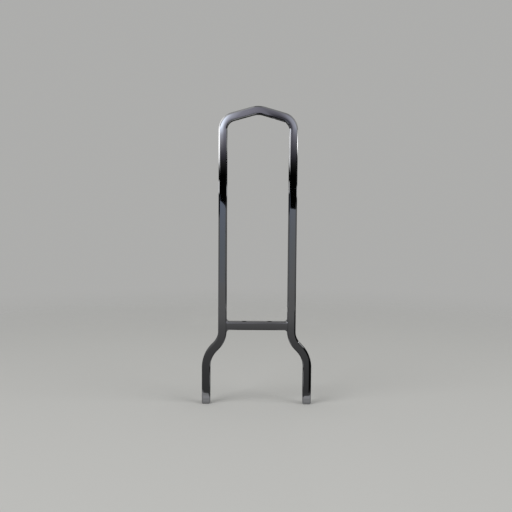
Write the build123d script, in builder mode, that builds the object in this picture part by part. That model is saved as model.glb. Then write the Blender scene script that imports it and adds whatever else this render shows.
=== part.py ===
"""Chromed hoop sissy bar: one bent square bar with a peaked top, and a cross bar welded between its legs.

Millimetres. The origin is midway between the two leg ends, +Z is up the legs, +X runs across to the right
leg and +Y is the thin direction, through the bar.
"""

import os
from math import acos, atan2, cos, degrees, radians, sin, sqrt, tan

from build123d import *

# Square bar
bar_width = 15.875          # 5/8 in square bar
corner_radius = 3.175       # rolled corners of the bar
end_rounding = 2.4          # dressed edges at the two leg ends

# Hoop, measured on the centre line of the bar
overall_height = 554.3      # leg ends to the top of the peak
lower_leg_spacing = 189.5   # between the lower legs, which bolt to the motorcycle
upper_leg_spacing = 129.0   # between the upper legs
lower_leg_length = 70.0     # straight part of each lower leg, from its end up
lower_jog_radius = 51.0     # bend from the lower leg into the jog
upper_jog_radius = 41.0     # bend from the jog into the upper leg
jog_straight = 6.3          # straight part between those two bends
top_bend_radius = 24.0      # rounded upper corners
peak_bend_radius = 40.0     # bend at the peak
peak_slope = 15.9           # degrees that each side of the top rises towards the peak

# Cross bar and its welds
bend_below_cross_bar = 1.9  # straight leg between the cross bar's underside and the first bend
weld_leg = 6.0              # reach of the weld along the leg and along the cross bar
weld_toe_angle = 8.5        # degrees at which the weld's hollow face meets the two bars
weld_grind = 0.35           # the weld is ground this far below the flat front and back faces

# Bolt holes
pad_hole_diameter = 8.4     # clearance for 5/16 in bolts through the cross bar
pad_hole_spacing = 47.6
leg_hole_diameter = 8.4     # clearance for 5/16 in bolts through the lower legs
leg_hole_spacing = 38.1

# The jog's angle from the vertical, from the sideways run that its two bends and their straight cover
lower_leg_x = lower_leg_spacing / 2
upper_leg_x = upper_leg_spacing / 2
jog_run = lower_leg_x - upper_leg_x
jog_radii = lower_jog_radius + upper_jog_radius
jog_reach = sqrt(jog_radii**2 + jog_straight**2)
jog_angle = acos((jog_radii - jog_run) / jog_reach) - atan2(jog_straight, jog_radii)
jog_rise = jog_radii * sin(jog_angle) + jog_straight * cos(jog_angle)

# Corners of the centre line, from the leg ends up
lower_corner_z = lower_leg_length + lower_jog_radius * tan(jog_angle / 2)
upper_corner_z = lower_leg_length + jog_rise - upper_jog_radius * tan(jog_angle / 2)
peak_rounding = peak_bend_radius * (1 / cos(radians(peak_slope)) - 1)
peak_z = overall_height - bar_width / 2 + peak_rounding
eave_z = peak_z - upper_leg_x * tan(radians(peak_slope))

# Cross bar, between the inner faces of the upper legs
inner_face_x = upper_leg_x - bar_width / 2
cross_bar_z = lower_leg_length + jog_rise + bend_below_cross_bar + bar_width / 2
weld_hollow = weld_leg / sqrt(2) * tan(radians((45 - weld_toe_angle) / 2))

print(f"jog angle {degrees(jog_angle):.2f} deg, cross bar centre at z {cross_bar_z:.2f}, eave at z {eave_z:.2f}")

os.makedirs("parts", exist_ok=True)

# Hoop bar: the bar's section swept along its bent centre line
right_corners = [
    (lower_leg_x, 0),
    (lower_leg_x, lower_corner_z),
    (upper_leg_x, upper_corner_z),
    (upper_leg_x, eave_z),
]
left_corners = [(-x, z) for x, z in reversed(right_corners)]
side_radii = [lower_jog_radius, upper_jog_radius, top_bend_radius]

with BuildPart() as hoop_bar:
    with BuildLine(Plane.XZ) as centre_line:
        FilletPolyline(
            *right_corners,
            (0, peak_z),
            *left_corners,
            radius=[*side_radii, peak_bend_radius, *reversed(side_radii)],
        )
    with BuildSketch(Plane(origin=centre_line.line @ 0, x_dir=(1, 0, 0), z_dir=centre_line.line % 0)):
        RectangleRounded(bar_width, bar_width, corner_radius)
    sweep(path=centre_line.line)

    leg_ends = hoop_bar.faces().filter_by(Axis.Z).group_by(Axis.Z)[0]
    fillet(leg_ends.edges(), end_rounding)

    # Two bolt holes across each lower leg, centred on its straight part
    with BuildSketch(Plane.YZ):
        with Locations((0, lower_leg_length / 2)):
            with GridLocations(0, leg_hole_spacing, 1, 2):
                Circle(leg_hole_diameter / 2)
    extrude(amount=lower_leg_spacing, both=True, mode=Mode.SUBTRACT)
hoop_bar.part.label = "hoop_bar"

# Cross bar: a straight length of the same bar, with two upright holes for a back pad
with BuildPart() as cross_bar:
    with BuildSketch(Plane.YZ):
        with Locations((0, cross_bar_z)):
            RectangleRounded(bar_width, bar_width, corner_radius)
    extrude(amount=inner_face_x, both=True)
    with BuildSketch(Plane.XY.offset(cross_bar_z)):
        with GridLocations(pad_hole_spacing, 0, 2, 1):
            Circle(pad_hole_diameter / 2)
    extrude(amount=bar_width, both=True, mode=Mode.SUBTRACT)
cross_bar.part.label = "cross_bar"


def make_weld(side, name):
    """Weld around one end of the cross bar: hollow fillets above and below, and the grooves between filled."""
    face_x = side * inner_face_x
    leg_x = side * upper_leg_x
    toe_x = side * (inner_face_x - weld_leg)
    top_z = cross_bar_z + bar_width / 2
    low_z = cross_bar_z - bar_width / 2
    with BuildPart() as weld:
        with BuildSketch(Plane.XZ):
            with BuildLine():
                SagittaArc((face_x, top_z + weld_leg), (toe_x, top_z), side * weld_hollow)
                Line((toe_x, top_z), (toe_x, low_z))
                SagittaArc((toe_x, low_z), (face_x, low_z - weld_leg), side * weld_hollow)
                Polyline(
                    (face_x, low_z - weld_leg),
                    (leg_x, low_z - weld_leg),
                    (leg_x, top_z + weld_leg),
                    (face_x, top_z + weld_leg),
                )
            make_face()
        extrude(amount=bar_width / 2 - weld_grind, both=True)
        fillet(weld.edges().filter_by(GeomType.CIRCLE), corner_radius - weld_grind)
        add(hoop_bar.part, mode=Mode.SUBTRACT)
        add(cross_bar.part, mode=Mode.SUBTRACT)
    weld.part.label = name
    return weld


left_weld = make_weld(-1, "left_weld")
right_weld = make_weld(1, "right_weld")

export_step(hoop_bar.part, "parts/hoop_bar.step")
export_step(cross_bar.part, "parts/cross_bar.step")
export_step(left_weld.part, "parts/left_weld.step")
export_step(right_weld.part, "parts/right_weld.step")
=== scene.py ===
import math

import bmesh
import bpy
from mathutils import Matrix, Vector


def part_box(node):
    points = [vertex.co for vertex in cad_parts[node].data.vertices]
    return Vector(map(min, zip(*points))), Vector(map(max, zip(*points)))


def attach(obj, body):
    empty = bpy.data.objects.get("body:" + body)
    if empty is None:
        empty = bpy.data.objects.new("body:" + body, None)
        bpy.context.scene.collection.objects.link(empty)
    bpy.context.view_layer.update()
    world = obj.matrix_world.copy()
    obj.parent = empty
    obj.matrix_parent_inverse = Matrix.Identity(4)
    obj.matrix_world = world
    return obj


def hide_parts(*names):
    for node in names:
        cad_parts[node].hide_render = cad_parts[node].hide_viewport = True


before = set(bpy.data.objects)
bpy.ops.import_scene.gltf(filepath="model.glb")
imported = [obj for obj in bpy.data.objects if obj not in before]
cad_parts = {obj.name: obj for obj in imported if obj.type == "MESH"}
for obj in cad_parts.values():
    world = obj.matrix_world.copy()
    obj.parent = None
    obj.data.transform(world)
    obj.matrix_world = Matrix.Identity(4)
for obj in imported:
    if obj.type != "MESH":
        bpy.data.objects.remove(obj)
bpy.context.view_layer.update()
print("frame loaded:", sorted(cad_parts))

# the sizes that the frame itself holds, in metres
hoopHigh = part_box("hoop_bar")[1]
crossLow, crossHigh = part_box("cross_bar")
barHalf = hoopHigh.y                                  # half the bar's width across its flats
lowerLegX = hoopHigh.x - barHalf                      # centre of the right lower leg
innerFaceX = crossHigh.x                              # inner face of the right upper leg
upperLegX = innerFaceX + barHalf
crossZ = (crossLow.z + crossHigh.z) / 2
overallHeight = hoopHigh.z

sectionLook = {
    "cornerRadius": 0.003175,
    "crown": 0.00004,                                 # polishing leaves each flat a hair proud in its middle
    "flatSteps": 12,                                  # columns across each flat
    "cornerSteps": 10,                                # columns round each corner
}
flatHalf = barHalf - sectionLook["cornerRadius"]
# each corner is an arc that runs on smoothly from the crowned flats beside it
cornerLean = 2 * sectionLook["crown"] / flatHalf      # slope of a flat where it runs into a corner
cornerSpan = sectionLook["cornerRadius"] - sectionLook["crown"]
cornerArc = cornerSpan / (math.cos(cornerLean) - math.sin(cornerLean))
cornerHub = flatHalf - cornerArc * math.sin(cornerLean)


# one bar section, side after side: places across and through the bar (a, t) and the normals there (na, nt)
def barSection():
    flatSteps = sectionLook["flatSteps"]
    cornerSteps = sectionLook["cornerSteps"]
    quarter = []
    for i in range(flatSteps + 1):
        u = 2 * i / flatSteps - 1
        bulge = barHalf - sectionLook["crown"] * u * u
        quarter.append((bulge, flatHalf * u, math.cos(cornerLean * u), math.sin(cornerLean * u)))
    for i in range(1, cornerSteps):
        turn = cornerLean + (math.pi / 2 - 2 * cornerLean) * i / cornerSteps
        c, s = math.cos(turn), math.sin(turn)
        quarter.append((cornerHub + cornerArc * c, cornerHub + cornerArc * s, c, s))
    points = []
    for side in range(4):
        c, s = round(math.cos(side * math.pi / 2)), round(math.sin(side * math.pi / 2))
        for a, t, na, nt in quarter:
            points.append((c * a - s * t, s * a + c * t, c * na - s * nt, s * na + c * nt))
    return points


section = barSection()
sideColumns = sectionLook["flatSteps"] + sectionLook["cornerSteps"]
through = Vector((0, 1, 0))


# a ring of the bar: where its centre is, which way its first side faces and which way the bar runs
def ring(centre, across, along, inset=0.0, tilt=0.0):
    return {"centre": centre, "across": across, "along": along, "inset": inset, "tilt": tilt}


# the numbers of the points in one row of the section
def rowPoints(row):
    return range(row * len(section), (row + 1) * len(section))


# four-sided faces between two closed loops of points
def bridge(a, b):
    count = len(a)
    return [(a[k], a[(k + 1) % count], b[(k + 1) % count], b[k]) for k in range(count)]


# loops of points at one mouth of a hole: the edge of its square patch, then round the lip to the bore
def mouthLoops(verts, normals, centre, outward, edge, look):
    loops = [edge]
    for m in range(look["lipSteps"] + 1):
        turn = math.pi / 2 * m / look["lipSteps"]
        radius = look["holeRadius"] + look["lip"] * (1 - math.sin(turn))
        depth = look["lip"] * (1 - math.cos(turn))
        loop = []
        for v in edge:
            away = verts[v] - centre
            away = (away - outward * away.dot(outward)).normalized()
            loop.append(len(verts))
            verts.append(centre + away * radius + outward * (barHalf - depth))
            normals.append(outward * math.cos(turn) - away * math.sin(turn))
        loops.append(loop)
    return loops


# adds a hole's points through sides 0 and 2, and gives its faces, each with whether it takes the bore's
# near-black colour, painted shade for the inside of the hole
def drillHole(verts, normals, rings, first, look):
    steps = sectionLook["flatSteps"]
    middle = rings[first + steps // 2]
    # the square patch of rings and columns that the hole takes out, walked round its edge
    walk = [(0, k) for k in range(steps)] + [(i, steps) for i in range(steps)]
    walk += [(steps, steps - k) for k in range(steps)] + [(steps - i, 0) for i in range(steps)]
    faces = []
    mouths = []
    for side, sign in ((0, 1), (2, -1)):
        edge = []
        for i, k in walk:
            column = k if side == 0 else steps - k
            edge.append(rowPoints(first + i)[side * sideColumns + column])
        loops = mouthLoops(verts, normals, middle["centre"], middle["across"] * sign, edge, look)
        for a, b in zip(loops, loops[1:]):
            inPaintedShade = look["paintedShadeLip"] and a is not edge
            faces += [(quad[::sign], inPaintedShade) for quad in bridge(a, b)]
        mouths.append(loops[-1])
    faces += [(quad, True) for quad in bridge(*mouths)]
    return faces


# skins rings into one closed bar; each hole is given by its first ring
def barMesh(name, rings, holes, look):
    verts, normals, faces = [], [], []
    for r in rings:
        slope = r["along"] * math.sin(r["tilt"])
        for a, t, na, nt in section:
            normal = r["across"] * na + through * nt
            place = r["centre"] + r["across"] * a + through * t
            verts.append(place - normal * r["inset"])
            normals.append(normal * math.cos(r["tilt"]) + slope)
    steps = sectionLook["flatSteps"]
    drilled = set()
    for first in holes:
        for side in (0, 2):
            columns = range(side * sideColumns, side * sideColumns + steps)
            drilled.update((first + i, k) for i in range(steps) for k in columns)
    for i in range(len(rings) - 1):
        skin = bridge(rowPoints(i), rowPoints(i + 1))
        faces += [quad for k, quad in enumerate(skin) if (i, k) not in drilled]
    faces.append(tuple(reversed(rowPoints(0))))
    faces.append(tuple(rowPoints(len(rings) - 1)))
    # faces of each bore, and of its lip where asked, take the second material, whose near-black colour is
    # painted shade
    paintedShadeFaces = [False] * len(faces)
    for first in holes:
        for quad, inPaintedShade in drillHole(verts, normals, rings, first, look):
            faces.append(quad)
            paintedShadeFaces.append(inPaintedShade)
    return finishMesh(name, verts, normals, faces, paintedShadeFaces)


# mesh object with the true normal of the surface at each point, so that the plating reflects cleanly
def finishMesh(name, verts, normals, faces, paintedShadeFaces=None):
    mesh = bpy.data.meshes.new(name)
    mesh.from_pydata([tuple(v) for v in verts], [], faces)
    for i, polygon in enumerate(mesh.polygons):
        polygon.use_smooth = True
        # material 1 is the bore's near-black one: painted shade inside the holes
        polygon.material_index = 1 if paintedShadeFaces and paintedShadeFaces[i] else 0
    bm = bmesh.new()
    bm.from_mesh(mesh)
    bmesh.ops.recalc_face_normals(bm, faces=bm.faces)
    bm.to_mesh(mesh)
    bm.free()
    mesh.normals_split_custom_set_from_vertices([tuple(n.normalized()) for n in normals])
    piece = bpy.data.objects.new(name, mesh)
    bpy.context.collection.objects.link(piece)
    print(name, len(mesh.vertices), "points", len(mesh.polygons), "faces")
    return piece


# places along a straight run: even steps, with close rows where a hole's patch needs them
def runPlaces(start, end, step, holeMiddles):
    steps = sectionLook["flatSteps"]
    patches = []
    for middle in holeMiddles:
        patches.append([middle + flatHalf * (2 * i / steps - 1) for i in range(steps + 1)])
    places = []
    firsts = []
    reached = start
    for patch in patches + [[end]]:
        gap = patch[0] - reached
        count = math.ceil(gap / step)
        places += [reached + gap * i / count for i in range(count)]
        firsts.append(len(places))
        places += patch[:-1]
        reached = patch[-1]
    places.append(end)
    return places, firsts[:-1]


hoopLook = {
    "lowerLegLength": 0.070,
    "lowerJogRadius": 0.051,
    "upperJogRadius": 0.041,
    "jogStraight": 0.0063,
    "topBendRadius": 0.024,
    "peakBendRadius": 0.040,
    "peakSlope": math.radians(15.9),
    "endRounding": 0.0024,
    "endSteps": 6,
    "runStep": 0.008,
    "bendStep": math.radians(2.5),
    "holeRadius": 0.0042,
    "holeSpacing": 0.0381,
    "lip": 0.0004,
    "lipSteps": 4,
    "paintedShadeLip": False,
}


# the way along and across a bar that leans from upright towards +X
def alongAt(lean):
    return Vector((math.sin(lean), 0, math.cos(lean)))


def acrossAt(lean):
    return Vector((math.cos(lean), 0, -math.sin(lean)))


# rings of the hoop's right half, from the leg's end up to the peak, and the first ring of each leg hole
def hoopHalf():
    look = hoopLook
    rings = []
    place = Vector((lowerLegX, 0, 0))
    heading = 0.0                                     # lean of the bar from upright, towards +X

    def add(inset=0.0, tilt=0.0):
        rings.append(ring(place.copy(), acrossAt(heading), alongAt(heading), inset, tilt))

    def bend(radius, turn):
        nonlocal heading, place
        count = math.ceil(abs(turn) / look["bendStep"])
        side = 1 if turn > 0 else -1
        hub = place + acrossAt(heading) * radius * side
        for i in range(count):
            heading += turn / count
            place = hub - acrossAt(heading) * radius * side
            add()

    def straight(length):
        nonlocal place
        count = math.ceil(length / look["runStep"])
        start = place.copy()
        for i in range(count):
            place = start + alongAt(heading) * length * (i + 1) / count
            add()

    # dressed end of the leg, then the straight leg with its holes
    for i in range(look["endSteps"]):
        tilt = math.pi / 2 * (1 - i / look["endSteps"])
        place.z = look["endRounding"] * (1 - math.sin(tilt))
        add(look["endRounding"] * (1 - math.cos(tilt)), -tilt)
    holes = [look["lowerLegLength"] / 2 + s * look["holeSpacing"] / 2 for s in (-1, 1)]
    places, firsts = runPlaces(look["endRounding"], look["lowerLegLength"], look["runStep"], holes)
    firsts = [first + len(rings) for first in firsts]
    for z in places:
        place.z = z
        add()

    # the jog, whose angle comes from the sideways run that its bends and their straight cover
    jogRun = lowerLegX - upperLegX
    jogRadii = look["lowerJogRadius"] + look["upperJogRadius"]
    jogReach = math.hypot(jogRadii, look["jogStraight"])
    jogAngle = math.acos((jogRadii - jogRun) / jogReach) - math.atan2(look["jogStraight"], jogRadii)
    bend(look["lowerJogRadius"], -jogAngle)
    straight(look["jogStraight"])
    bend(look["upperJogRadius"], jogAngle)

    # the upper leg, the rounded corner and the slope up to the peak
    slope = look["peakSlope"]
    cornerTurn = math.pi / 2 - slope
    cornerReach = look["topBendRadius"] * math.tan(cornerTurn / 2)
    peakRounding = look["peakBendRadius"] * (1 / math.cos(slope) - 1)
    eaveZ = overallHeight - barHalf + peakRounding - upperLegX * math.tan(slope)
    straight(eaveZ - cornerReach - place.z)
    bend(look["topBendRadius"], -cornerTurn)
    straight(upperLegX / math.cos(slope) - cornerReach - look["peakBendRadius"] * math.tan(slope))
    bend(look["peakBendRadius"], -slope)
    return rings, firsts


def makeHoop():
    right, firsts = hoopHalf()
    flip = Vector((-1, 1, 1))
    left = []
    for r in reversed(right[:-1]):
        along = r["along"] * flip * -1
        left.append(ring(r["centre"] * flip, r["across"] * flip, along, r["inset"], -r["tilt"]))
    lastRing = len(right) + len(left) - 1
    holes = firsts + [lastRing - first - sectionLook["flatSteps"] for first in firsts]
    return barMesh("hoop_bar_plated", right + left, holes, hoopLook)


crossLook = {
    "runStep": 0.008,
    "holeRadius": 0.0042,
    "holeSpacing": 0.0476,
    "lip": 0.0005,
    "lipSteps": 4,
    "paintedShadeLip": True,                                  # the drill's edge takes the bore's near-black colour too, painted shade that widens the hole's dark mark
}


def makeCross():
    look = crossLook
    holes = [s * look["holeSpacing"] / 2 for s in (-1, 1)]
    places, firsts = runPlaces(-innerFaceX, innerFaceX, look["runStep"], holes)
    up, along = Vector((0, 0, 1)), Vector((1, 0, 0))
    rings = [ring(Vector((x, 0, crossZ)), up, along) for x in places]
    return barMesh("cross_bar_plated", rings, firsts, look)


weldLook = {
    "reach": 0.006,                                   # along the leg and the cross bar, above and below
    "frontReach": 0.0014,                             # on to the cross bar's front and back faces
    "grind": 0.0003,                                  # dip of the ground front and back
    "bury": 0.00004,                                  # toes start this far under the plating
    "root": 0.001,                                    # depth of the hidden last row, in the cross bar
    "rootSet": 0.00025,                               # and in the leg
    "steps": 12,
}


# how far the inner side of a leg falls back from its middle, at a place through the bar
def legSetback(y):
    if abs(y) <= flatHalf:
        return sectionLook["crown"] * (y / flatHalf) ** 2
    past = min(abs(y) - cornerHub, cornerArc)
    return barHalf - cornerHub - math.sqrt(cornerArc**2 - past**2)


# weld round one end of the cross bar: hollow above and below, ground nearly flush at front and back
def makeWeld(name, side):
    look = weldLook
    bury, root = look["bury"], look["root"]
    count = len(section)
    rows = [[] for i in range(look["steps"] + 1)]
    roots = []
    for a, t, na, nt in section:
        upright = na * na                             # 1 on top and below, 0 at front and back
        legReach = look["reach"] * upright
        barReach = look["frontReach"] + (look["reach"] - look["frontReach"]) * upright
        start = Vector((innerFaceX - barReach, t - nt * bury, a - na * bury))
        endY = max(-barHalf, min(barHalf, t + nt * legReach))
        end = Vector((innerFaceX + legSetback(endY) + bury, endY, a + na * legReach))
        end.y -= nt * bury * (1 - upright)
        dip = look["grind"] * 2 * (1 - upright)
        knee = Vector((innerFaceX + legSetback(t) / 2, t - nt * dip, a - na * dip))
        for i, row in enumerate(rows):
            s = i / look["steps"]
            row.append(start * (1 - s) ** 2 + knee * 2 * s * (1 - s) + end * s**2)
        roots.append(Vector((innerFaceX + look["rootSet"], t - nt * root, a - na * root)))
    grid = rows + [roots]
    lift = Vector((0, 0, crossZ))
    flip = Vector((side, 1, 1))
    verts = [point * flip + lift for row in grid for point in row]
    normals = []
    for i, row in enumerate(rows):
        before, after = rows[max(i - 1, 0)], rows[min(i + 1, look["steps"])]
        for k in range(count):
            down = after[k] - before[k]
            sideways = row[(k + 1) % count] - row[k - 1]
            normals.append(sideways.cross(down).normalized() * flip)
    normals += [Vector((side, 0, 0))] * count
    if normals[0].z < 0:                              # the first point is on top, where the weld faces up
        normals = [-n for n in normals]
    faces = []
    for i in range(len(grid)):
        faces += bridge(rowPoints(i), rowPoints((i + 1) % len(grid)))
    return finishMesh(name, verts, normals, faces)


pieces = {
    "hoop_bar": makeHoop(),
    "cross_bar": makeCross(),
    "left_weld": makeWeld("left_weld_plated", -1),
    "right_weld": makeWeld("right_weld_plated", 1),
}
print("bars and welds built")


# shader helpers: a node with its inputs set or linked, and a group whose sockets are all plain numbers
def node(tree, kind, inputs=None, **settings):
    made = tree.nodes.new(kind)
    for key, value in settings.items():
        setattr(made, key, value)
    for key, value in (inputs or {}).items():
        if isinstance(value, bpy.types.NodeSocket):
            tree.links.new(value, made.inputs[key])
        else:
            made.inputs[key].default_value = value
    return made


def newGroup(name, inputs, outputs):
    group = bpy.data.node_groups.new(name, "ShaderNodeTree")
    for label, value in inputs.items():
        socket = group.interface.new_socket(label, in_out="INPUT", socket_type="NodeSocketFloat")
        socket.default_value = value
    for label in outputs:
        group.interface.new_socket(label, in_out="OUTPUT", socket_type="NodeSocketFloat")
    source = group.nodes.new("NodeGroupInput")
    sink = group.nodes.new("NodeGroupOutput")
    return group, source, sink


# the scale of a texture whose features have a given size
def textureScale(group, size):
    return node(group, "ShaderNodeMath", {0: 1.0, 1: size}, operation="DIVIDE").outputs[0]


# slow waves that buffing leaves in the steel under the plating
def buffingWaves():
    group, source, sink = newGroup("buffingWaves", {"Wave Length": 0.05, "Seed": 0.0}, ["Height"])
    place = node(group, "ShaderNodeTexCoord")
    scale = textureScale(group, source.outputs["Wave Length"])
    waves = node(
        group, "ShaderNodeTexNoise",
        {"Vector": place.outputs["Object"], "W": source.outputs["Seed"], "Scale": scale, "Detail": 1.0},
        noise_dimensions="4D",
    )
    group.links.new(waves.outputs["Fac"], sink.inputs["Height"])
    return group


# wiped haze and a few specks of dust: where the mirror is a little dulled
def wipedHaze():
    inputs = {
        "Clear": 0.03, "Hazy": 0.08, "Patch Size": 0.04,
        "Speck Size": 0.006, "Speck Share": 0.03, "Speck Radius": 0.07, "Speck Dullness": 0.35,
    }
    group, source, sink = newGroup("wipedHaze", inputs, ["Roughness", "Specks"])
    place = node(group, "ShaderNodeTexCoord")
    patchScale = textureScale(group, source.outputs["Patch Size"])
    patches = node(
        group, "ShaderNodeTexNoise",
        {"Vector": place.outputs["Object"], "Scale": patchScale, "Detail": 4.0, "Roughness": 0.6},
    )
    haze = node(
        group, "ShaderNodeMapRange",
        {"Value": patches.outputs["Fac"], "From Min": 0.4, "From Max": 0.75,
         "To Min": source.outputs["Clear"], "To Max": source.outputs["Hazy"]},
        interpolation_type="SMOOTHSTEP",
    )
    speckScale = textureScale(group, source.outputs["Speck Size"])
    dots = node(group, "ShaderNodeTexVoronoi", {"Vector": place.outputs["Object"], "Scale": speckScale})
    chance = node(group, "ShaderNodeSeparateColor", {"Color": dots.outputs["Color"]})
    rare = node(
        group, "ShaderNodeMath",
        {0: chance.outputs["Red"], 1: source.outputs["Speck Share"]}, operation="LESS_THAN",
    )
    near = node(
        group, "ShaderNodeMath",
        {0: dots.outputs["Distance"], 1: source.outputs["Speck Radius"]}, operation="LESS_THAN",
    )
    specks = node(group, "ShaderNodeMath", {0: rare.outputs[0], 1: near.outputs[0]}, operation="MULTIPLY")
    rough = node(
        group, "ShaderNodeMath",
        {0: specks.outputs[0], 1: source.outputs["Speck Dullness"], 2: haze.outputs["Result"]},
        operation="MULTIPLY_ADD",
    )
    group.links.new(rough.outputs[0], sink.inputs["Roughness"])
    group.links.new(specks.outputs[0], sink.inputs["Specks"])
    return group


groups = {"waves": buffingWaves(), "haze": wipedHaze()}
mixSockets = {"first": 6, "second": 7, "result": 2}   # numbers of a Mix node's colour sockets


# bright chrome over polished steel
def chromeMaterial(name, look):
    material = bpy.data.materials.new(name)
    material.use_nodes = True
    tree = material.node_tree
    shader = tree.nodes["Principled BSDF"]
    shader.inputs["Metallic"].default_value = 1.0
    haze = node(
        tree, "ShaderNodeGroup",
        {"Clear": look["clear"], "Hazy": look["hazy"]},
        node_tree=groups["haze"],
    )
    colours = {mixSockets["first"]: (*look["colour"], 1), mixSockets["second"]: (*look["dust"], 1)}
    dusted = node(
        tree, "ShaderNodeMix",
        {"Factor": haze.outputs["Specks"], **colours},
        data_type="RGBA",
    )
    tree.links.new(dusted.outputs[mixSockets["result"]], shader.inputs["Base Color"])
    tree.links.new(haze.outputs["Roughness"], shader.inputs["Roughness"])
    waves = node(
        tree, "ShaderNodeGroup",
        {"Wave Length": look["waveLength"], "Seed": look["seed"]},
        node_tree=groups["waves"],
    )
    bump = node(
        tree, "ShaderNodeBump",
        {"Height": waves.outputs["Height"], "Strength": 1.0, "Distance": look["waveHeight"]},
    )
    tree.links.new(bump.outputs["Normal"], shader.inputs["Normal"])
    return material


chrome = {"colour": (0.56, 0.565, 0.58), "dust": (0.7, 0.7, 0.68), "clear": 0.02, "hazy": 0.05}
finishes = {
    "hoopChrome": {**chrome, "waveLength": 0.06, "waveHeight": 0.00005, "seed": 1.0},
    "crossChrome": {**chrome, "waveLength": 0.05, "waveHeight": 0.00004, "seed": 4.0},
    "weldChromePaintedShade": {                                   # ground by hand, so rippled and a little rougher; darker too, as painted shade in the corner where the bars meet
        **chrome, "colour": (0.44, 0.445, 0.455), "clear": 0.04, "hazy": 0.09,
        "waveLength": 0.004, "waveHeight": 0.00002, "seed": 7.0,
    },
    "boreChromePaintedShade": {                                   # plating hardly reaches into a hole; the near-black colour is painted shade for the inside of the hole
        **chrome, "colour": (0.04, 0.04, 0.04), "clear": 0.3, "hazy": 0.5,
        "waveLength": 0.002, "waveHeight": 0.00002, "seed": 9.0,
    },
}
materials = {name: chromeMaterial(name, look) for name, look in finishes.items()}
plating = {
    "hoop_bar": ["hoopChrome", "boreChromePaintedShade"],
    "cross_bar": ["crossChrome", "boreChromePaintedShade"],
    "left_weld": ["weldChromePaintedShade"],
    "right_weld": ["weldChromePaintedShade"],
}

for cadNode, piece in pieces.items():
    for name in plating[cadNode]:
        piece.data.materials.append(materials[name])
    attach(piece, "root")
    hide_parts(cadNode)
print("chrome finished")

# pale studio: a floor that fades into the background
studio = {
    "background": (0.42, 0.42, 0.412),
    "floorColour": (0.62, 0.62, 0.605),
    "floorRoughness": 0.9,
    "floorSpecular": 0.1,
    "floorRadius": 6.0,
    "floorSides": 96,
    "fadeFrom": 0.6,
    "fadeTo": 1.8,
}


def makeFloor():
    mesh = bpy.data.meshes.new("floor")
    bm = bmesh.new()
    bmesh.ops.create_circle(bm, cap_ends=True, segments=studio["floorSides"], radius=studio["floorRadius"])
    bm.to_mesh(mesh)
    bm.free()
    floor = bpy.data.objects.new("floor", mesh)
    bpy.context.collection.objects.link(floor)
    material = bpy.data.materials.new("paleFloor")
    material.use_nodes = True
    tree = material.node_tree
    shader = tree.nodes["Principled BSDF"]
    shader.inputs["Base Color"].default_value = (*studio["floorColour"], 1)
    shader.inputs["Roughness"].default_value = studio["floorRoughness"]
    shader.inputs["Specular IOR Level"].default_value = studio["floorSpecular"]
    place = node(tree, "ShaderNodeNewGeometry")
    length = node(tree, "ShaderNodeVectorMath", {0: place.outputs["Position"]}, operation="LENGTH")
    fade = node(
        tree, "ShaderNodeMapRange",
        {"Value": length.outputs["Value"], "From Min": studio["fadeFrom"], "From Max": studio["fadeTo"],
         "To Min": 1.0, "To Max": 0.0},
        interpolation_type="SMOOTHSTEP",
    )
    tree.links.new(fade.outputs["Result"], shader.inputs["Alpha"])
    mesh.materials.append(material)


def makeBackground():
    world = bpy.data.worlds.new("paleStudio")
    bpy.context.scene.world = world
    world.use_nodes = True
    background = world.node_tree.nodes["Background"]
    background.inputs["Color"].default_value = (*studio["background"], 1)
    background.inputs["Strength"].default_value = 1.0


# soft lamps, which light the floor; the chrome sees the room below instead
lamps = {
    "keyLamp": {"place": (-1.4, -1.2, 2.4), "size": 1.6, "power": 26},
    "fillLamp": {"place": (1.6, -0.8, 2.2), "size": 1.6, "power": 16},
}


def makeLamp(name, look):
    light = bpy.data.lights.new(name, "AREA")
    light.shape = "DISK"
    light.size = look["size"]
    light.energy = look["power"]
    lamp = bpy.data.objects.new(name, light)
    bpy.context.collection.objects.link(lamp)
    lamp.location = look["place"]
    aim = Vector((0, 0, overallHeight / 2)) - Vector(look["place"])
    lamp.rotation_euler = aim.to_track_quat("-Z", "Y").to_euler()
    lamp.visible_glossy = False


makeFloor()
makeBackground()
for name, look in lamps.items():
    makeLamp(name, look)
print("floor, background and lamps ready")


# a level of light, with how much green and blue it has for each part of red
def tone(level, green=1.0, blue=1.0):
    return (level, level * green, level * blue)


# a light as a shader's colour; a plain level is grey
def shaderColour(light):
    return (*(tone(light) if isinstance(light, float) else light), 1)


# colours along one axis, from stops of (place, light)
def rampNode(tree, value, stops):
    low, high = stops[0][0], stops[-1][0]
    share = node(tree, "ShaderNodeMapRange", {"Value": value, "From Min": low, "From Max": high})
    ramp = node(tree, "ShaderNodeValToRGB", {"Fac": share.outputs["Result"]})
    line = ramp.color_ramp
    while len(line.elements) < len(stops):
        line.elements.new(0.5)                        # moved to its own place below
    for element, (place, light) in zip(line.elements, stops):
        element.position = (place - low) / (high - low)
        element.color = shaderColour(light)
    return ramp.outputs["Color"]


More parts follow.
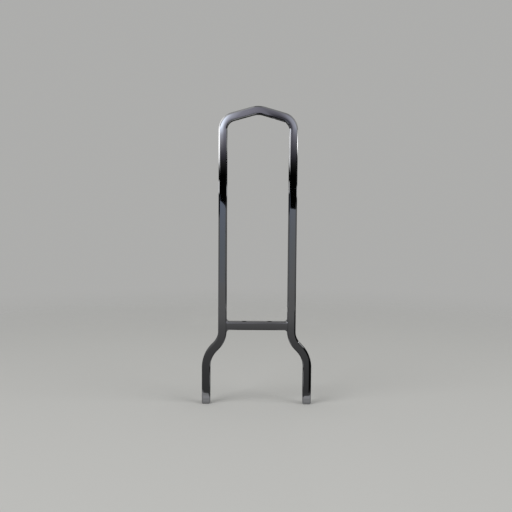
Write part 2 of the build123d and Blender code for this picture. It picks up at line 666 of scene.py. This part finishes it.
# a card is lit at one level, or by layers that add up; a layer has stops along X, Y or Z, which multiply
def cardMaterial(name, light, cover, oneSided):
    material = bpy.data.materials.new(name)
    material.use_nodes = True
    material.cycles.emission_sampling = "NONE"
    tree = material.node_tree
    tree.nodes.clear()
    place = node(tree, "ShaderNodeNewGeometry")
    axes = node(tree, "ShaderNodeSeparateXYZ", {0: place.outputs["Position"]})

    def combine(a, b, operation):
        return node(tree, "ShaderNodeVectorMath", {0: a, 1: b}, operation=operation).outputs[0]

    def product(layer):
        result = None
        for axis, stops in layer.items():
            ramp = rampNode(tree, axes.outputs[axis], stops)
            result = combine(result, ramp, "MULTIPLY") if result else ramp
        return result

    if isinstance(light, float):
        total = shaderColour(light)
    else:
        total = product(light[0])
        for layer in light[1:]:
            total = combine(total, product(layer), "ADD")
    surface = node(tree, "ShaderNodeEmission", {"Color": total}).outputs[0]
    clear = node(tree, "ShaderNodeBsdfTransparent").outputs[0]
    if cover:
        surface = node(tree, "ShaderNodeMixShader", {0: product(cover), 1: clear, 2: surface}).outputs[0]
    if oneSided:
        behind = place.outputs["Backfacing"]
        surface = node(tree, "ShaderNodeMixShader", {0: behind, 1: surface, 2: clear}).outputs[0]
    node(tree, "ShaderNodeOutputMaterial", {"Surface": surface})
    return material


# a card that only reflections see
def makeCard(name, corners, light, cover=None, oneSided=False):
    mesh = bpy.data.meshes.new(name)
    mesh.from_pydata(corners, [], [tuple(range(len(corners)))])
    mesh.materials.append(cardMaterial(name, light, cover, oneSided))
    card = bpy.data.objects.new(name, mesh)
    bpy.context.collection.objects.link(card)
    card.visible_camera = False
    card.visible_diffuse = False
    card.visible_shadow = False
    card.visible_transmission = False


def makeUpright(name, start, end, heights, light, cover=None, oneSided=False):
    (x0, y0), (x1, y1), (low, high) = start, end, heights
    corners = [(x0, y0, low), (x1, y1, low), (x1, y1, high), (x0, y0, high)]
    makeCard(name, corners, light, cover, oneSided)


def makeFlat(name, xSpan, ySpan, height, light, oneSided=False):
    (x0, x1), (y0, y1) = xSpan, ySpan
    corners = [(x0, y0, height), (x1, y0, height), (x1, y1, height), (x0, y1, height)]
    makeCard(name, corners, light, oneSided=oneSided)


# the room that the chrome reflects
room = {
    "left": -1.0,
    "right": 1.0,
    "front": -1.9,
    "back": 1.2,
    "top": 2.2,
    "panelFront": -0.3,                               # the left wall is a bright panel from here back
    "stripFront": -0.05,                              # the right wall has a bright strip from here back
}
# front wall: pale below, light again above a black band, and the edge of a light panel up to the left
frontWall = [
    {
        "Z": [
            (0.0, tone(0.155, 1.03, 1.08)), (0.14, tone(0.158, 1.09, 1.2)), (0.25, tone(0.17, 1.1, 1.28)),
            (0.32, tone(0.176, 1.12, 1.36)), (0.4, tone(0.176, 1.12, 1.36)), (0.42, 0.0),
        ],
        "X": [(-0.3, (0.95, 0.99, 1.06)), (0.3, (1.05, 1.01, 0.94))],
    },
    {
        "Z": [
            (0.45, 0.0), (0.479, 0.007), (0.5, 0.018), (0.521, tone(0.038, 0.97, 1.16)),
            (0.563, tone(0.1, 0.97, 1.16)), (0.605, tone(0.185, 0.97, 1.16)),
            (0.65, tone(0.27, 0.97, 1.16)), (0.72, tone(0.3, 0.97, 1.14)), (2.2, 0.3),
        ],
        "X": [
            (-0.3, 1.7), (-0.2, 1.15), (-0.15, 1.1), (0.0, 1.0), (0.055, 0.76), (0.1, 0.7), (0.15, 0.88),
            (0.3, 1.0),
        ],
    },
    {
        "Z": [
            (0.54, 0.0), (0.567, 0.05), (0.59, 0.11), (0.62, tone(0.22, 1.05, 1.15)),
            (0.645, tone(0.62, 1.1, 1.25)), (0.665, tone(1.0, 1.1, 1.25)), (0.76, tone(0.8, 1.1, 1.25)),
            (0.85, 0.06), (2.2, 0.0),
        ],
        "X": [
            (-0.4, 1.5), (-0.2, 1.4), (-0.147, 1.0), (-0.125, 0.6), (-0.094, 0.24), (-0.06, 0.03),
            (0.0, 0.0), (0.12, 0.0), (0.16, 0.14), (0.24, 0.3),
        ],
    },
]
leftLow = [(0.0, 0.1), (0.3, 0.13), (0.34, 0.14), (0.345, 0.01), (0.462, 0.01)]
leftWall = [{"Z": leftLow + [(0.475, 0.75), (0.54, 1.0), (0.7, 0.8), (0.8, 0.35), (1.2, 0.7), (2.2, 0.7)]}]
leftPanel = [{"Z": leftLow + [
    (0.474, 0.6), (0.49, 2.2), (0.53, 3.1), (0.6, 2.7), (0.8, 1.7), (1.4, 1.7), (1.7, 0.75), (2.2, 0.75),
]}]
rightLow = [(0.0, 0.006), (0.06, 0.006), (0.09, 0.1), (0.335, 0.12), (0.345, 0.006)]
rightHigh = [(1.0, 0.42), (2.2, 0.3)]
rightWall = [{"Z": rightLow + [(0.52, 0.02), (0.6, 0.3)] + rightHigh}]
rightStrip = [{"Z": rightLow + [
    (0.37, 0.006), (0.376, 0.8), (0.405, 0.8), (0.412, 0.006), (0.5, 0.006), (0.513, 0.9), (0.53, 3.2),
    (0.544, 3.0), (0.556, 2.3), (0.568, 1.2), (0.59, 0.3),
] + rightHigh}]
rearWall = [{"Z": [
    (0.0, 0.12), (0.25, 0.14), (0.31, 0.21), (0.398, 0.21), (0.408, 0.004), (0.52, 0.01), (0.56, 0.24),
    (0.9, 0.24), (1.2, 0.18), (2.2, 0.18),
]}]
# darker over the middle, which the cross bar's upper edge reflects
ceiling = [{"X": [(-1.0, 0.44), (-0.3, 0.4), (-0.18, 0.17), (0.18, 0.17), (0.3, 0.28), (1.0, 0.28)]}]


def makeWalls():
    left, right, front, back = room["left"], room["right"], room["front"], room["back"]
    panelFront, stripFront = room["panelFront"], room["stripFront"]
    walls = {
        "front_wall": ((left, front), (right, front), frontWall),
        "left_wall": ((left, front), (left, panelFront), leftWall),
        "left_panel": ((left, panelFront), (left, back), leftPanel),
        "right_wall": ((right, front), (right, stripFront), rightWall),
        "right_strip": ((right, stripFront), (right, back), rightStrip),
        "rear_wall": ((left, back), (right, back), rearWall),
    }
    for name, (start, end, light) in walls.items():
        makeUpright(name, start, end, (0, room["top"]), light)
    makeFlat("ceiling", (left, right), (front, back), room["top"], ceiling)


# cards that hang in front of the front wall, each with its outline (x, z)
frontCards = {
    "dark_band": {                                    # black, with a lower edge that rises to the left
        "gap": 0.05, "light": 0.0005,
        "outline": [
            (-1.0, 0.42), (-0.3, 0.36), (-0.2, 0.345), (-0.14, 0.338), (-0.06, 0.325), (0.1, 0.316),
            (0.24, 0.312), (1.0, 0.31), (1.0, 0.45), (-1.0, 0.45),
        ],
    },
    "corner_panel": {                                 # bright, for the outside of the left top corner
        "gap": 0.03, "light": 0.75,
        "outline": [(-1.0, 0.76), (-0.25, 0.76), (-0.25, 1.0), (-0.42, 1.35), (-0.7, 2.0), (-1.0, 2.0)],
    },
    "dark_flag": {                                    # soft, for the lower edge of the top's right side
        "gap": 0.05, "light": 0.004,
        "outline": [(0.045, 0.55), (0.15, 0.55), (0.15, 0.76), (0.045, 0.76)],
        "cover": {
            "X": [(0.045, 0.0), (0.07, 0.9), (0.105, 0.9), (0.13, 0.3), (0.15, 0.0)],
            "Z": [
                (0.55, 0.0), (0.62, 0.2), (0.645, 0.95), (0.66, 0.7), (0.69, 0.45), (0.715, 0.25),
                (0.76, 0.0),
            ],
        },
    },
    "low_flag": {                                     # black, low down, for the underside of the top
        "gap": 0.05, "light": 0.002,
        "outline": [(-0.05, 0.0), (0.02, 0.0), (0.02, 0.316), (-0.05, 0.316)],
    },
}
# black from above: they keep the far ground and the rear wall out of the underside of the top
gableFlags = {
    "gable_flag": {"x": (-0.05, 0.0), "y": (-1.84, -0.36), "z": 0.3, "light": 0.002},
    "rear_gable_flag": {"x": (-0.04, 0.045), "y": (0.12, 1.19), "z": 0.4, "light": 0.002},
}
# cards between the legs, each seen from one side, that even out the light panels in the legs' inner edges
legCards = {
    "right_leg_flag": {
        "x": 0.0, "y": (-0.02, 0.35), "z": (0.44, 0.54), "light": 0.02,
        "cover": {"Z": [
            (0.44, 0.0), (0.456, 0.4), (0.466, 0.55), (0.478, 0.68), (0.489, 0.56), (0.502, 0.56),
            (0.512, 0.68), (0.54, 0.75),
        ]},
    },
    "left_leg_flag": {
        "x": -0.02, "y": (0.35, -0.02), "z": (0.455, 0.53), "light": 0.02,
        "cover": {"Z": [(0.455, 0.0), (0.468, 0.7), (0.51, 0.7), (0.53, 0.0)]},
    },
    "right_leg_panel": {"x": 0.02, "y": (0.5, 1.19), "z": (0.478, 0.64), "light": 0.7},
}


def makeFlags():
    for name, look in frontCards.items():
        y = room["front"] + look["gap"]
        makeCard(name, [(x, y, z) for x, z in look["outline"]], look["light"], look.get("cover"))
    for name, look in gableFlags.items():
        makeFlat(name, look["x"], look["y"], look["z"], look["light"], oneSided=True)
    for name, look in legCards.items():
        start, end = [(look["x"], y) for y in look["y"]]
        makeUpright(name, start, end, look["z"], look["light"], look.get("cover"), oneSided=True)


# a low screen round the bar, clear of it, is what the lower legs and the cross bar reflect
screenGap = 0.083
screen = {
    "side": hoopHigh.x + screenGap,
    "depth": barHalf + screenGap,
    "heights": (0, 0.16),
    "blackFrom": 0.106,                               # its front is black from here to the right
    "black": 0.004,
    "grey": [{"Z": [
        (0.0, 0.05), (0.0087, 0.053), (0.0435, 0.06), (0.1, 0.08), (0.131, 0.1), (0.146, 0.128),
        (0.16, 0.142),
    ]}],
}
# keeps the light panel out of the left jog
jogScreen = {
    "x": -0.22, "y": (-0.6, 0.3), "z": (0.16, 0.436),
    "light": [
        {"Z": [(0.16, 0.14), (0.34, 0.14), (0.352, 0.008), (0.436, 0.008)]},
        {
            "Z": [(0.391, 0.0), (0.396, 0.9), (0.416, 0.9), (0.421, 0.0)],
            "Y": [(-0.12, 0.0), (-0.1, 1.0), (0.3, 1.0)],
        },
    ],
}


def makeScreens():
    side, depth, blackFrom = screen["side"], screen["depth"], screen["blackFrom"]
    grey, black = screen["grey"], screen["black"]
    screens = {
        "front_screen": ((-side, -depth), (blackFrom, -depth), grey),
        "front_screen_black": ((blackFrom, -depth), (side, -depth), black),
        "left_screen": ((-side, -depth), (-side, depth), grey),
        "right_screen": ((side, -depth), (side, depth), black),
        "rear_screen": ((-side, depth), (side, depth), grey),
    }
    for name, (start, end, light) in screens.items():
        makeUpright(name, start, end, screen["heights"], light)
    start, end = [(jogScreen["x"], y) for y in jogScreen["y"]]
    makeUpright("jog_screen", start, end, jogScreen["z"], jogScreen["light"])


# cards on the ground: a runner in front of the bar and behind it, and a wide strip on either side
ground = {
    "lift": 0.0003,
    "half": 0.2,                                      # half the runner's width
    "split": 0.07,                                    # where its front turns from black to light
    "far": -0.85,                                     # its front end; it ends as far behind the bar
    "side": 0.9,                                      # reach of the strips to either side
    "rightFront": -0.6,                               # front end of the right one
    "rear": 1.19,                                     # rear end of both
    "farLight": [{"Y": [
        (-1.9, tone(0.156, 1.03, 1.08)), (-1.6, 0.153), (-1.16, 0.142), (-1.0, 0.128), (-0.85, 0.1),
    ]}],
}
# pale patch of ground round each foot, in soft bands, which the ends of the legs reflect
footPatches = {
    "left_patch": {"legX": -lowerLegX, "shift": -0.035, "reach": 0.091},
    "right_patch": {"legX": lowerLegX, "shift": 0.01, "reach": 0.068},
}
patchPoints = 48
patchLight = [{"Y": [
    (-0.09, 0.27), (-0.075, 0.27), (-0.06, tone(0.34, 1.0, 1.03)), (-0.05, tone(0.34, 1.0, 1.03)),
    (-0.04, 0.27), (-0.03, 0.31), (-0.018, 0.24), (0.0, 0.2), (0.09, 0.28),
]}]


def makeGround():
    side, depth = screen["side"], screen["depth"]
    half, split, far, lift = ground["half"], ground["split"], ground["far"], ground["lift"]
    wide, rear = ground["side"], ground["rear"]
    cards = {
        "runner_left": ((-half, split), (far, -depth), 0.005),
        "runner_right": ((split, half), (far, -depth), 0.3),
        "runner_far": ((room["left"], room["right"]), (room["front"], far), ground["farLight"]),
        "inner_ground": ((-side, side), (-depth, depth), 0.06),
        "left_ground": ((-wide, -half), (far, rear), 0.005),
        "right_ground": ((half, wide), (ground["rightFront"], rear), 0.15),
        "runner_rear_left": ((-half, 0), (depth, -far), 0.004),
        "runner_rear_right": ((0, half), (depth, -far), 0.05),
    }
    for name, (xSpan, ySpan, light) in cards.items():
        makeFlat(name, xSpan, ySpan, lift, light)
    turns = [2 * math.pi * i / patchPoints for i in range(patchPoints)]
    for name, look in footPatches.items():
        middle, reach = look["legX"] + look["shift"], look["reach"]
        rim = [(middle + reach * math.cos(turn), reach * math.sin(turn), 2 * lift) for turn in turns]
        makeCard(name, rim, patchLight)


makeWalls()
makeFlags()
makeScreens()
makeGround()
print("room ready")

# camera as in the photograph, which is taken as 512 by 512
view = {
    "place": (-0.0147, -1.4816, 0.4098),
    "yaw": math.radians(0.468),
    "pitch": math.radians(5.044),
    "roll": math.radians(0.422),
    "focalPixels": 800,
    "imagePixels": 512,
    "sensorWidth": 36,
}
lens = bpy.data.cameras.new("photoCamera")
lens.sensor_width = view["sensorWidth"]
lens.lens = view["sensorWidth"] * view["focalPixels"] / view["imagePixels"]
camera = bpy.data.objects.new("photoCamera", lens)
bpy.context.collection.objects.link(camera)
aim = Matrix.Rotation(-view["yaw"], 4, "Z") @ Matrix.Rotation(math.pi / 2 - view["pitch"], 4, "X")
camera.matrix_world = Matrix.Translation(view["place"]) @ aim @ Matrix.Rotation(view["roll"], 4, "Z")
bpy.context.scene.camera = camera
bpy.context.scene.view_settings.view_transform = "Standard"
